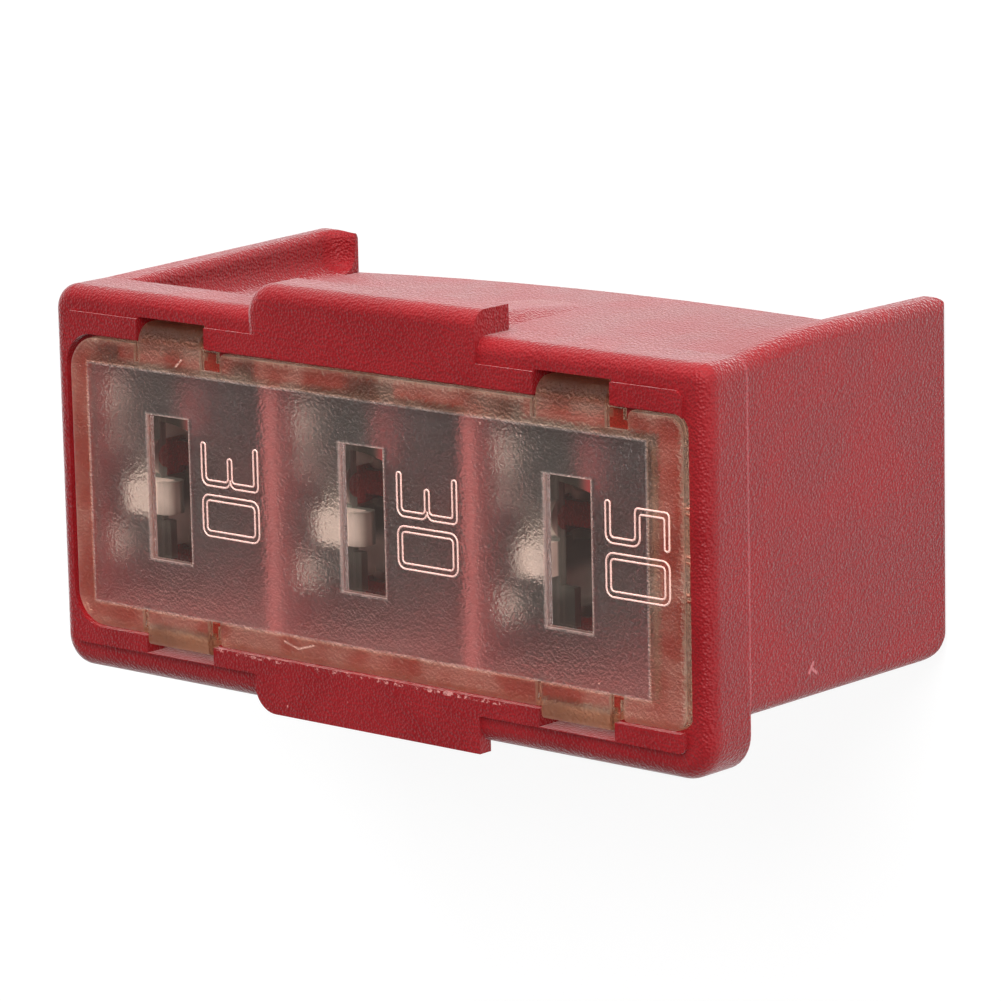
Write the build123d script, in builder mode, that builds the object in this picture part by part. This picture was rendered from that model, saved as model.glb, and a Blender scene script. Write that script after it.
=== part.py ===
"""Three-circuit plug-in fusible link block.

A moulded housing with a wide rim and two grips holds three stamped fuse elements. Each element joins
two female terminals, open at the socket face, by a narrow strip that carries a tin pellet. A snap-on
cover with three clear windows closes the front.

Frame: +X along the row of circuits, +Y across the row towards the top grip, +Z out through the cover.
The socket face lies on z = 0 and is what the block stands on. Lengths are millimetres.
"""
from build123d import *
import os

# ---------------------------------------------------------------- circuits
circuit_pitch = 12.6
circuit_count = 3
circuit_ratings = (30, 30, 50)
divider_shift = -0.35
divider_thick = 0.85
divider_drop = 0.3

# ---------------------------------------------------------------- housing, outside
depth = 17.8
rim_thick = 2.8
rim_margin_left = 1.45
rim_margin_right = 1.2
rim_margin_top = 2.38
rim_margin_bottom = 2.33
rim_corner_radii = {"top_left": 1.3, "top_right": 0.8, "bottom_right": 1.9, "bottom_left": 1.5}
rim_edge_radius = 0.75

body_wall_bottom = 0.73
body_wall_top_left = 1.73
body_wall_top_right = 1.98
body_crown = 0.47
body_corner_radius = 0.6
body_rear_radius = 0.4
body_rear_bottom_radius = 2.1

# ---------------------------------------------------------------- housing, raised front and grips
pad_proud = 0.13
pad_inset_left = 0.95
pad_inset_right = 1.4
pad_inset_top = 1.23
pad_inset_bottom = 1.28
pad_corner_radius = 0.45

top_grip_left = -7.65
top_grip_right = 7.0
top_grip_rise = 1.22
top_grip_thick = 2.3
top_grip_corner_radius = 1.6
top_grip_edge_radius = 0.8
bottom_grip_left = -7.5
bottom_grip_right = 6.8
bottom_grip_drop = 0.53
bottom_grip_thick = 0.65
bottom_grip_corner_radius = 1.3
grip_root = 0.5

# ---------------------------------------------------------------- housing, wings and gusset
wing_rise = 0.65
wing_rear_radius = 0.5
left_wing_width = 2.88
left_wing_outer_radius = 2.4
left_wing_inner_radius = 0.5
left_wing_root_radius = 1.0
left_post_width = 4.1
left_post_flat = 0.25
right_wing_width = 1.3
right_wing_ramp = 7.5
right_wing_outer_radius = 0.7
right_wing_inner_radius = 0.3
wing_root = 0.5
gusset_center = -0.15
gusset_width = 1.9
gusset_reach = 11.3
gusset_root = 0.5
gusset_top_step = 0.05

# ---------------------------------------------------------------- cover
cover_thick = 0.6
cover_proud = 0.4
cover_left_radius = 1.7
cover_right_radius = 0.8
cover_edge_radius = 0.3
cover_border_left = 1.25
cover_border_right = 2.0
cover_border_top = 1.2
cover_border_bottom = 1.25
plug_drop = 0.25
plug_corner_radius = 0.5
window_width = 2.8
window_height = 7.13
window_sink = 0.5

# ---------------------------------------------------------------- fits of the cover
seat_gap = 0.05
pocket_gap_left = 0.4
pocket_gap_bottom = 0.15
pocket_gap_right = 0.1
pocket_gap_top = 0.1
opening_gap_side = 0.35
opening_gap_end = 0.25

# ---------------------------------------------------------------- latches of the cover
latch_shift = 0.28
latch_width = 4.05
latch_leg_thick = 0.8
latch_barb = 0.25
latch_barb_height = 0.8
latch_barb_gap = 0.1
latch_gap_left = 0.4
latch_gap_right = 0.06
latch_root = 0.5
top_latch_leg = 1.9
relief_left = 0.35
relief_sink = 0.35
top_latch = {
    "reach": 1.0,
    "end_radius": 0.9,
    "notch_gap": 0.25,
    "relief_depth": 0.9,
    "relief_right": 1.35,
    "hole_width": 0.55,
    "hole_height": 0.5,
}
bottom_latch = {
    "reach": 0.5,
    "end_radius": 0.25,
    "notch_gap": 0.5,
    "relief_depth": 1.25,
    "relief_right": 0.85,
    "hole_width": 0.5,
    "hole_height": 0.95,
}

# ---------------------------------------------------------------- recesses in the upper ledge
recess_spans = ((-17.9, -16.1), (-8.8, -7.1), (-1.35, 1.8), (6.3, 9.7))
recess_height = 0.6
recess_depth = 1.2

# ---------------------------------------------------------------- chambers and sockets
cell_depth = 6.2
cell_margin_left = 0.13
cell_margin_right = 2.85
cell_margin_top = 0.95
cell_margin_bottom = 1.67
chamber_wall_gap = 0.1
partition_center = 0.15
partition_thick = 1.2
socket_face_thick = 0.9
slot_side_gap = 0.3
slot_height = 1.6
slot_chamfer = 0.35

# ---------------------------------------------------------------- fuse elements
sheet_thick = 0.42
terminal_left = -5.6
terminal_width = 7.8
terminal_height = 4.1
terminal_seam = 0.4
terminal_bend_radius = 0.35
terminal_mouth_gap = 0.1
tongue_width = 4.6
tongue_thick = 0.34
tongue_length = 6.5
tongue_bow = 1.35
tongue_setback = 0.6
riser_height = 3.5
riser_root = 1.0
upper_shoulder_right = 0.3
upper_shoulder_top = 5.3
upper_shoulder_bottom = 2.3
upper_shoulder_arch = 0.5
lower_shoulder_top = 0.3
lower_shoulder_bottom = -4.0
lower_shoulder_shelf = -2.1
lower_shoulder_stem = 1.3

strip_center = -2.95
strip_widths = {30: 1.1, 50: 1.7}
strip_lap = 0.5
strip_hump = 0.55
strip_hump_length = 1.5
strip_hump_setback = 0.3
clip_left = -4.3
clip_widths = {30: 3.3, 50: 2.2}
clip_bottom = -1.6
clip_top = 0.0
clip_height = 1.35
clip_lip = 0.35
clip_radius = 0.3
clip_gap = 0.27
pellet_dome = 0.2

# ---------------------------------------------------------------- derived levels
cut_over = 1.0
circuit_centers = [(i - (circuit_count - 1) / 2) * circuit_pitch for i in range(circuit_count)]
divider_centers = [x + circuit_pitch / 2 + divider_shift for x in circuit_centers[:-1]]
terminal_right = terminal_left + terminal_width
chamber_height = terminal_height + 2 * chamber_wall_gap
terminal_center_offset = partition_thick / 2 + chamber_height / 2
terminal_rows = (partition_center + terminal_center_offset, partition_center - terminal_center_offset)
slot_width = terminal_width - 2 * slot_side_gap

opening_left = circuit_centers[0] + terminal_left - cell_margin_left
opening_right = circuit_centers[-1] + terminal_right + cell_margin_right
opening_top = terminal_rows[0] + chamber_height / 2 + cell_margin_top
opening_bottom = terminal_rows[1] - chamber_height / 2 - cell_margin_bottom
plug_left = opening_left + opening_gap_side
plug_right = opening_right - opening_gap_side
plug_top = opening_top - opening_gap_end
plug_bottom = opening_bottom + opening_gap_end
cover_left = plug_left - cover_border_left
cover_right = plug_right + cover_border_right
cover_top = plug_top + cover_border_top
cover_bottom = plug_bottom - cover_border_bottom
cover_radii = {
    "top_left": cover_left_radius,
    "bottom_left": cover_left_radius,
    "top_right": cover_right_radius,
    "bottom_right": cover_right_radius,
}
left_end = cover_left - rim_margin_left
right_end = cover_right + rim_margin_right
rim_top = cover_top + rim_margin_top
rim_bottom = cover_bottom - rim_margin_bottom

pad_face = depth + pad_proud
pad_left = left_end + pad_inset_left
pad_right = right_end - pad_inset_right
pad_top = rim_top - pad_inset_top
pad_bottom = rim_bottom + pad_inset_bottom
rim_back = depth - rim_thick
body_bottom = opening_bottom - body_wall_bottom
body_top_left = opening_top + body_wall_top_left
body_top_right = opening_top + body_wall_top_right
body_top_middle = (body_top_left + body_top_right) / 2 + body_crown
wing_top = rim_top + wing_rise
left_wing_face = left_end + left_wing_width
left_post_face = left_end + left_post_width
right_wing_face = right_end - right_wing_width

cover_face = depth + cover_proud
cover_back = cover_face - cover_thick
cover_seat = cover_back - seat_gap
plug_face = cover_back - plug_drop
divider_top = plug_face - divider_drop
latch_centers = (circuit_centers[0] + latch_shift, circuit_centers[-1] + latch_shift)
latch_sides = (
    (1, cover_top, cover_back - top_latch_leg, top_latch),
    (-1, cover_bottom, rim_back - latch_barb_gap - latch_barb_height, bottom_latch),
)
cell_floor = depth - cell_depth
plate_bottom = plug_face - clip_gap - clip_height
plate_top = plate_bottom + sheet_thick
terminal_base = socket_face_thick + terminal_mouth_gap


def box_between(low, high, mode=Mode.ADD):
    """A box given by two opposite corners, in the part being built."""
    size = [b - a for a, b in zip(low, high)]
    middle = [(a + b) / 2 for a, b in zip(low, high)]
    with Locations(tuple(middle)):
        Box(*size, mode=mode)


def rounded_outline(left, right, bottom, top, radii):
    """A rectangle in the sketch being built, with a radius for each named corner."""
    with Locations(((left + right) / 2, (bottom + top) / 2)):
        Rectangle(right - left, top - bottom)
    for corner, radius in radii.items():
        target = (left if "left" in corner else right, bottom if "bottom" in corner else top)
        nearest = vertices().sort_by_distance(Vertex(target[0], target[1], vertices()[0].Z))[0]
        fillet(nearest, radius=radius)


def same_radii(radius):
    """One radius for all four corners of a rounded outline."""
    return {corner: radius for corner in rim_corner_radii}


# ---------------------------------------------------------------- housing
with BuildPart() as top_grip:
    with BuildSketch(Plane.XY.offset(pad_face)):
        rounded_outline(
            top_grip_left,
            top_grip_right,
            pad_top - grip_root,
            rim_top + top_grip_rise,
            {"top_left": top_grip_corner_radius},
        )
    extrude(amount=-(top_grip_thick + pad_proud))
    front_top_edge = edges().group_by(Axis.Z)[-1].filter_by(Axis.X).sort_by(Axis.Y)[-1]
    fillet(front_top_edge, radius=top_grip_edge_radius)

with BuildPart() as valley:
    # the space over the body's crowned top, from the left wing's face to beyond the right end
    with BuildSketch(Plane.XY.offset(-cut_over)):
        with BuildLine():
            banks = Polyline(
                (left_wing_face, body_top_left),
                (left_wing_face, wing_top + cut_over),
                (right_end + cut_over, wing_top + cut_over),
                (right_end + cut_over, body_top_right),
                (right_wing_face, body_top_right),
            )
            crown = ((left_wing_face + right_wing_face) / 2, body_top_middle)
            ThreePointArc(banks @ 1, crown, banks @ 0)
        make_face()
    extrude(amount=rim_back + cut_over)

    # the post at the left wing's rear end, which the wing's face curves out to
    post_blend = left_post_face - left_wing_face
    with BuildSketch(Plane.XZ.offset(-body_top_left)):
        with BuildLine():
            blend = CenterArc((left_post_face, left_post_flat + post_blend), post_blend, 180, 90)
            Polyline(
                blend @ 0,
                (left_end, left_post_flat + post_blend),
                (left_end, -2 * cut_over),
                (left_post_face, -2 * cut_over),
                blend @ 1,
            )
        make_face()
    extrude(amount=wing_top, both=True, mode=Mode.SUBTRACT)

with BuildPart() as housing:
    # body up to the left wing's top, which rises to the rear
    for level, top, left_radius in (
        (0, wing_top, left_wing_outer_radius),
        (rim_back, rim_top, rim_corner_radii["top_left"]),
    ):
        with BuildSketch(Plane.XY.offset(level)):
            rounded_outline(
                left_end,
                right_end,
                body_bottom,
                top,
                {
                    "top_left": left_radius,
                    "bottom_left": body_corner_radius,
                    "bottom_right": body_corner_radius,
                },
            )
    loft()
    add(valley.part, mode=Mode.SUBTRACT)
    for height, radius in (
        ((rim_top + wing_top) / 2, left_wing_inner_radius),
        (body_top_left, left_wing_root_radius),
    ):
        long_edge = edges().sort_by_distance(Vertex(left_wing_face, height, rim_back / 2))[0]
        fillet(long_edge, radius=radius)

    # right wing, which climbs from the rim to a level top
    with BuildSketch(Plane.YZ.offset(right_wing_face)):
        with BuildLine():
            ramp = TangentArc(
                (wing_top, rim_back - right_wing_ramp),
                (rim_top, rim_back),
                tangent=(0, 1),
            )
            Polyline(
                ramp @ 1,
                (body_top_right - wing_root, rim_back),
                (body_top_right - wing_root, 0),
                (wing_top, 0),
                ramp @ 0,
            )
        make_face()
    extrude(amount=right_wing_width)
    for wing_side, radius in (
        (right_wing_face, right_wing_inner_radius),
        (right_end, right_wing_outer_radius),
    ):
        top_edge = edges().sort_by_distance(Vertex(wing_side, wing_top, rim_back / 4))[0]
        fillet(top_edge, radius=radius)

    # rounded rear corners, seen from the side and from above
    with BuildSketch(Plane.YZ.offset(left_end - cut_over)):
        with Locations(((body_bottom + wing_top) / 2, rim_back / 2)):
            Rectangle(wing_top - body_bottom, rim_back)
        for height, radius in ((body_bottom, body_rear_bottom_radius), (wing_top, wing_rear_radius)):
            rear_corner = vertices().sort_by(Axis.Y)[0:2].sort_by(Axis.X)[0 if height < 0 else -1]
            fillet(rear_corner, radius=radius)
    extrude(amount=right_end - left_end + 2 * cut_over, mode=Mode.INTERSECT)
    with BuildSketch(Plane.XZ.offset(-wing_top - cut_over)):
        rounded_outline(
            left_end,
            right_end,
            0,
            rim_back,
            {"bottom_left": body_rear_radius, "bottom_right": body_rear_radius},
        )
    extrude(amount=wing_top - body_bottom + 2 * cut_over, mode=Mode.INTERSECT)

    # rim
    with BuildSketch(Plane.XY.offset(rim_back)):
        rounded_outline(left_end, right_end, rim_bottom, rim_top, rim_corner_radii)
    extrude(amount=rim_thick)
    fillet(faces().sort_by(Axis.Z)[-1].outer_wire().edges(), radius=rim_edge_radius)

    # gusset behind the top grip
    with BuildSketch(Plane.YZ.offset(gusset_center - gusset_width / 2)):
        with BuildLine():
            Polyline(
                (body_top_middle - gusset_root, rim_back),
                (rim_top - gusset_top_step, rim_back),
                (body_top_middle, rim_back - gusset_reach),
                (body_top_middle - gusset_root, rim_back - gusset_reach),
                close=True,
            )
        make_face()
    extrude(amount=gusset_width)

    # raised front pad and the two grips
    with BuildSketch(Plane.XY.offset(depth - rim_edge_radius)):
        rounded_outline(pad_left, pad_right, pad_bottom, pad_top, same_radii(pad_corner_radius))
    extrude(amount=rim_edge_radius + pad_proud)
    add(top_grip.part)
    with BuildSketch(Plane.XY.offset(pad_face)):
        rounded_outline(
            bottom_grip_left,
            bottom_grip_right,
            rim_bottom - bottom_grip_drop,
            pad_bottom + grip_root,
            {"bottom_left": bottom_grip_corner_radius},
        )
    extrude(amount=-(bottom_grip_thick + pad_proud))

    # pocket that seats the cover
    with BuildSketch(Plane.XY.offset(cover_seat)):
        rounded_outline(
            cover_left - pocket_gap_left,
            cover_right + pocket_gap_right,
            cover_bottom - pocket_gap_bottom,
            cover_top + pocket_gap_top,
            cover_radii,
        )
    extrude(amount=cover_thick + cut_over, mode=Mode.SUBTRACT)

    # cells, left open above the dividers
    box_between(
        (opening_left, opening_bottom, divider_top),
        (opening_right, opening_top, cover_seat + cut_over),
        mode=Mode.SUBTRACT,
    )
    walls = [opening_left - divider_thick / 2, *divider_centers, opening_right + divider_thick / 2]
    for left_wall, right_wall in zip(walls, walls[1:]):
        box_between(
            (left_wall + divider_thick / 2, opening_bottom, cell_floor),
            (right_wall - divider_thick / 2, opening_top, divider_top + cut_over),
            mode=Mode.SUBTRACT,
        )

    # terminal chambers and the blade slots in the socket face
    for center in circuit_centers:
        for row in terminal_rows:
            middle = center + (terminal_left + terminal_right) / 2
            box_between(
                (center + terminal_left - chamber_wall_gap, row - chamber_height / 2, socket_face_thick),
                (
                    center + terminal_right + chamber_wall_gap,
                    row + chamber_height / 2,
                    cell_floor + cut_over,
                ),
                mode=Mode.SUBTRACT,
            )
            box_between(
                (middle - slot_width / 2, row - slot_height / 2, -cut_over),
                (middle + slot_width / 2, row + slot_height / 2, socket_face_thick + cut_over),
                mode=Mode.SUBTRACT,
            )
    slot_edges = edges().group_by(Axis.Z)[0].filter_by(
        lambda edge: abs(edge.center().Y) < terminal_rows[0] + chamber_height / 2
        and opening_left < edge.center().X < opening_right
    )
    chamfer(slot_edges, length=slot_chamfer)

    # recesses in the ledge above the cells
    for span_left, span_right in recess_spans:
        box_between(
            (span_left, opening_top - recess_height, cover_seat - recess_depth),
            (span_right, opening_top + recess_height, cover_seat + cut_over),
            mode=Mode.SUBTRACT,
        )

    # notches that take the latches: blind in the rim's top, right through it below
    for center in latch_centers:
        left_side = center - latch_width / 2 - latch_gap_left
        right_side = center + latch_width / 2 + latch_gap_right
        for side, edge_y, leg_end, latch in latch_sides:
            reach = edge_y + side * latch["reach"]
            outer = reach + side * latch["notch_gap"]
            inner = edge_y - side * latch_root
            barb = reach + side * (latch_barb + latch_barb_gap)
            box_between(
                (left_side, min(inner, outer), leg_end - latch_barb_gap),
                (right_side, max(inner, outer), cover_face + cut_over),
                mode=Mode.SUBTRACT,
            )
            box_between(
                (left_side, min(inner, barb), leg_end - latch_barb_gap),
                (right_side, max(inner, barb), leg_end + latch_barb_height + latch_barb_gap),
                mode=Mode.SUBTRACT,
            )
housing.part.label = "housing"


# ---------------------------------------------------------------- cover
with BuildPart() as cover:
    with BuildSketch(Plane.XY.offset(cover_back)):
        rounded_outline(cover_left, cover_right, cover_bottom, cover_top, cover_radii)
    extrude(amount=cover_thick)
    fillet(faces().sort_by(Axis.Z)[-1].edges(), radius=cover_edge_radius)
    with BuildSketch(Plane.XY.offset(plug_face)):
        rounded_outline(plug_left, plug_right, plug_bottom, plug_top, {"top_right": plug_corner_radius})
    extrude(amount=plug_drop + cover_thick / 2)

    # latches: a rounded tab over each notch, and a barbed leg down into it
    for center in latch_centers:
        latch_left = center - latch_width / 2
        latch_right = center + latch_width / 2
        for side, edge_y, leg_end, latch in latch_sides:
            reach = edge_y + side * latch["reach"]
            relief_y = edge_y - side * latch["relief_depth"]
            root_y = relief_y - side * latch_root
            hole_y = edge_y - side * latch["hole_height"]
            hole_right = latch_right + latch["relief_right"]
            beyond = edge_y + side * cut_over
            box_between(
                (latch_left - relief_left, min(relief_y, beyond), plug_face - cut_over),
                (latch_left, max(relief_y, beyond), cover_face + cut_over),
                mode=Mode.SUBTRACT,
            )
            box_between(
                (latch_right, min(relief_y, beyond), cover_face - relief_sink),
                (hole_right, max(relief_y, beyond), cover_face + cut_over),
                mode=Mode.SUBTRACT,
            )
            box_between(
                (hole_right - latch["hole_width"], min(hole_y, beyond), plug_face - cut_over),
                (hole_right, max(hole_y, beyond), cover_face + cut_over),
                mode=Mode.SUBTRACT,
            )
            with BuildSketch(Plane.YZ.offset(latch_left)):
                Polygon(
                    (root_y, cover_face),
                    (reach, cover_face),
                    (reach, leg_end + latch_barb_height),
                    (reach + side * latch_barb, leg_end + latch_barb_height),
                    (reach, leg_end),
                    (reach - side * latch_leg_thick, leg_end),
                    (reach - side * latch_leg_thick, cover_back),
                    (root_y, cover_back),
                    align=None,
                )
                outer_corner = vertices().group_by(Axis.Y)[-1].sort_by(Axis.X)[-1 if side > 0 else 0]
                fillet(outer_corner, radius=latch["end_radius"])
            extrude(amount=latch_width)

    # clear windows, sunk into the face
    for center in circuit_centers:
        box_between(
            (center - window_width / 2, -window_height / 2, cover_face - window_sink),
            (center + window_width / 2, window_height / 2, cover_face + cut_over),
            mode=Mode.SUBTRACT,
        )
cover.part.label = "cover"


# ---------------------------------------------------------------- fuse elements
def fuse_element(center, rating):
    """Two box terminals, their risers and shoulders, and the strip with the pellet's clip."""
    strip_width = strip_widths[rating]
    strip_x = center + strip_center
    left = center + terminal_left
    with BuildPart() as element:
        # box terminals with a seam in the wall away from the partition, and a bowed tongue
        for row in terminal_rows:
            side = 1 if row > 0 else -1
            middle = left + terminal_width / 2
            with BuildSketch(Plane.XY.offset(terminal_base)):
                with Locations((middle, row)):
                    RectangleRounded(terminal_width, terminal_height, terminal_bend_radius + sheet_thick)
                    RectangleRounded(
                        terminal_width - 2 * sheet_thick,
                        terminal_height - 2 * sheet_thick,
                        terminal_bend_radius,
                        mode=Mode.SUBTRACT,
                    )
                with Locations((middle, row + side * (terminal_height - sheet_thick) / 2)):
                    Rectangle(terminal_seam, sheet_thick * 2, mode=Mode.SUBTRACT)
            extrude(amount=cell_floor - terminal_base)
            inner = row - side * (terminal_height / 2 - sheet_thick)
            with BuildSketch(Plane.YZ.offset(middle - tongue_width / 2)):
                with BuildLine() as tongue:
                    ThreePointArc(
                        (inner, terminal_base + tongue_setback),
                        (inner + side * tongue_bow, terminal_base + tongue_setback + tongue_length / 2),
                        (inner, terminal_base + tongue_setback + tongue_length),
                    )
                trace(tongue.line, line_width=tongue_thick)
            extrude(amount=tongue_width)

        # risers from the terminals' left walls up to the shoulders
        for row in terminal_rows:
            box_between(
                (left, row - riser_height / 2, cell_floor - riser_root),
                (left + sheet_thick, row + riser_height / 2, plate_top),
            )

        # shoulders in the plane of the strip
        with BuildSketch(Plane.XY.offset(plate_bottom)):
            with BuildLine():
                corner = Polyline(
                    (center + upper_shoulder_right, upper_shoulder_bottom),
                    (center + upper_shoulder_right, upper_shoulder_top),
                    (left, upper_shoulder_top),
                    (left, upper_shoulder_bottom),
                )
                arch_top = upper_shoulder_bottom + upper_shoulder_arch
                ThreePointArc(corner @ 1, (strip_x, arch_top), corner @ 0)
            make_face()
            with BuildLine():
                Polyline(
                    (left, lower_shoulder_top),
                    (left, lower_shoulder_bottom),
                    (strip_x + strip_width, lower_shoulder_bottom),
                    (strip_x + strip_width, lower_shoulder_shelf),
                    (left + lower_shoulder_stem, lower_shoulder_shelf),
                    (left + lower_shoulder_stem, lower_shoulder_top),
                    close=True,
                )
            make_face()
        extrude(amount=sheet_thick)

        # strip: flat under the pellet, with a hump above it
        with BuildSketch(Plane.YZ.offset(strip_x - strip_width / 2)):
            level = plate_bottom + sheet_thick / 2
            with BuildLine() as run:
                hump_start = clip_top + strip_hump_setback
                hump_end = hump_start + strip_hump_length
                Line((upper_shoulder_bottom + upper_shoulder_arch + strip_lap, level), (hump_end, level))
                ThreePointArc(
                    (hump_end, level),
                    ((hump_start + hump_end) / 2, level + strip_hump),
                    (hump_start, level),
                )
                Line((hump_start, level), (lower_shoulder_shelf - strip_lap, level))
            trace(run.line, line_width=sheet_thick)
        extrude(amount=strip_width)

        # clip that wraps the pellet
        clip_right = clip_left + clip_widths[rating]
        with BuildSketch(Plane.XZ.offset(-clip_top)):
            clip_base = plate_bottom
            with Locations((center + (clip_left + clip_right) / 2, clip_base + clip_height / 2)):
                RectangleRounded(clip_widths[rating], clip_height, clip_radius + sheet_thick / 2)
                RectangleRounded(
                    clip_widths[rating] - 2 * sheet_thick,
                    clip_height - 2 * sheet_thick,
                    clip_radius - sheet_thick / 2,
                    mode=Mode.SUBTRACT,
                )
            with Locations((center + (clip_left + clip_right) / 2, clip_base + clip_height)):
                Rectangle(
                    clip_widths[rating] - 2 * sheet_thick - 2 * clip_lip,
                    sheet_thick * 3,
                    mode=Mode.SUBTRACT,
                )
        extrude(amount=clip_top - clip_bottom)
    return element.part


def tin_pellet(center, rating):
    """The pellet fills the clip and bulges a little through its open side."""
    inside_width = clip_widths[rating] - 2 * sheet_thick
    middle_x = center + clip_left + clip_widths[rating] / 2
    with BuildPart() as pellet:
        with BuildSketch(Plane.XZ.offset(-clip_top)):
            with Locations((middle_x, plate_bottom + clip_height / 2)):
                RectangleRounded(inside_width, clip_height - 2 * sheet_thick, clip_radius - sheet_thick / 2)
            neck = inside_width - 2 * clip_lip
            with Locations((middle_x, plate_bottom + clip_height / 2 + (clip_height + pellet_dome) / 4)):
                Rectangle(neck, (clip_height + pellet_dome) / 2)
            fillet(vertices().group_by(Axis.Y)[-1], radius=pellet_dome)
        extrude(amount=clip_top - clip_bottom)
    return pellet.part


elements = []
pellets = []
for number, (center, rating) in enumerate(zip(circuit_centers, circuit_ratings), start=1):
    element = fuse_element(center, rating)
    element.label = f"fuse_element_{number}"
    elements.append(element)
    pellet = tin_pellet(center, rating)
    pellet.label = f"tin_pellet_{number}"
    pellets.append(pellet)

os.makedirs("parts", exist_ok=True)
export_step(housing.part, "parts/housing.step")
export_step(cover.part, "parts/cover.step")
for piece in elements + pellets:
    export_step(piece, f"parts/{piece.label}.step")
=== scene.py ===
"""Looks of a three-circuit fusible link block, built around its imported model.

The block keeps its own frame: +X along the row of circuits, +Y towards the top grip and +Z out through the
cover, with the socket face on z = 0. Sizes are millimetres, and MM turns them into Blender's metres.
"""
import logging
from dataclasses import dataclass
from enum import Enum
from typing import Sequence

import bpy
import numpy as np
from mathutils import Matrix, Vector


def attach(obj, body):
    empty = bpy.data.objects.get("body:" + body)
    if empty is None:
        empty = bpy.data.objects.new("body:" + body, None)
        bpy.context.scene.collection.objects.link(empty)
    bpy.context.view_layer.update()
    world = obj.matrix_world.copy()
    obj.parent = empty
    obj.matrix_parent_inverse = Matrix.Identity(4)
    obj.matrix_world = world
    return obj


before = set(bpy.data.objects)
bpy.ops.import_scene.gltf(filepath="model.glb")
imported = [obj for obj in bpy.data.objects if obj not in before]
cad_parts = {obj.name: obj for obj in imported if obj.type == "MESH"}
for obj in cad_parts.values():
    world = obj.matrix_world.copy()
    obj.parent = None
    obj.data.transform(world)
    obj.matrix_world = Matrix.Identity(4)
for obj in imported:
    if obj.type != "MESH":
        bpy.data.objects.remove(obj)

MM = 0.001
CIRCUITS = (-12.6, 0.0, 12.6)
SHARP = 1e-4  # the radius that stands for a sharp corner
SCRATCH_CORE = 0.4  # the part of a scratch's width that shows in full
log = logging.getLogger("fusible_link")

Color = tuple[float, float, float]
Point = tuple[float, float, float]
Line = tuple[Point, Point]
Span = tuple[float, float]
Corner = tuple[float, float, float]
Socket = bpy.types.NodeSocket


def opaque(color: Color) -> tuple[float, float, float, float]:
    """The colour with a full alpha."""
    return (*color, 1.0)


def scaled(color: Color, factor: float) -> Color:
    """The colour made brighter or darker by a factor."""
    return tuple(factor * channel for channel in color)


@dataclass(frozen=True)
class Area:
    """An upright rectangle in x and y."""

    left: float
    right: float
    bottom: float
    top: float


# ---------------------------------------------------------------- shader nodes
class NodeGraph:
    """Builds the node tree of a material or of the world with short calls."""

    def __init__(self, owner: bpy.types.Material | bpy.types.World) -> None:
        """Starts an empty tree.

        Args:
            owner: the material or the world.
        """
        owner.use_nodes = True
        self.tree = owner.node_tree
        self.tree.nodes.clear()

    def node(self, kind: str, inputs: dict | None = None, **settings) -> bpy.types.Node:
        """Adds a node.

        Args:
            kind: the node's type.
            inputs: plain values or sockets, by the input's name or number.
            settings: the node's own settings.

        Returns:
            The node.
        """
        made = self.tree.nodes.new(kind)
        for key, value in settings.items():
            setattr(made, key, value)
        for key, value in (inputs or {}).items():
            if isinstance(value, Socket):
                self.tree.links.new(value, made.inputs[key])
            else:
                made.inputs[key].default_value = value
        return made

    def math(self, operation: str, a: Socket, b: Socket | float = 0.0, use_clamp: bool = False) -> Socket:
        """One arithmetic step on two values."""
        inputs = {0: a, 1: b}
        return self.node("ShaderNodeMath", inputs, operation=operation, use_clamp=use_clamp).outputs[0]

    def product(self, first: Socket, *others: Socket) -> Socket:
        """Multiplies masks together, point by point.

        Args:
            first: one mask.
            others: the rest.

        Returns:
            The product.
        """
        result = first
        for mask in others:
            result = self.math("MULTIPLY", result, mask)
        return result

    def largest(self, masks: Sequence[Socket]) -> Socket:
        """Takes the largest of some masks, point by point.

        Args:
            masks: the masks, one or more.

        Returns:
            The largest value.
        """
        result = masks[0]
        for mask in masks[1:]:
            result = self.math("MAXIMUM", result, mask)
        return result

    def seen(self) -> Socket:
        """1 for camera, mirror and glass rays, which show the white background, and 0 for light."""
        rays = self.node("ShaderNodeLightPath").outputs
        return self.largest([rays[f"Is {kind} Ray"] for kind in ("Camera", "Glossy", "Transmission")])


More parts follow.
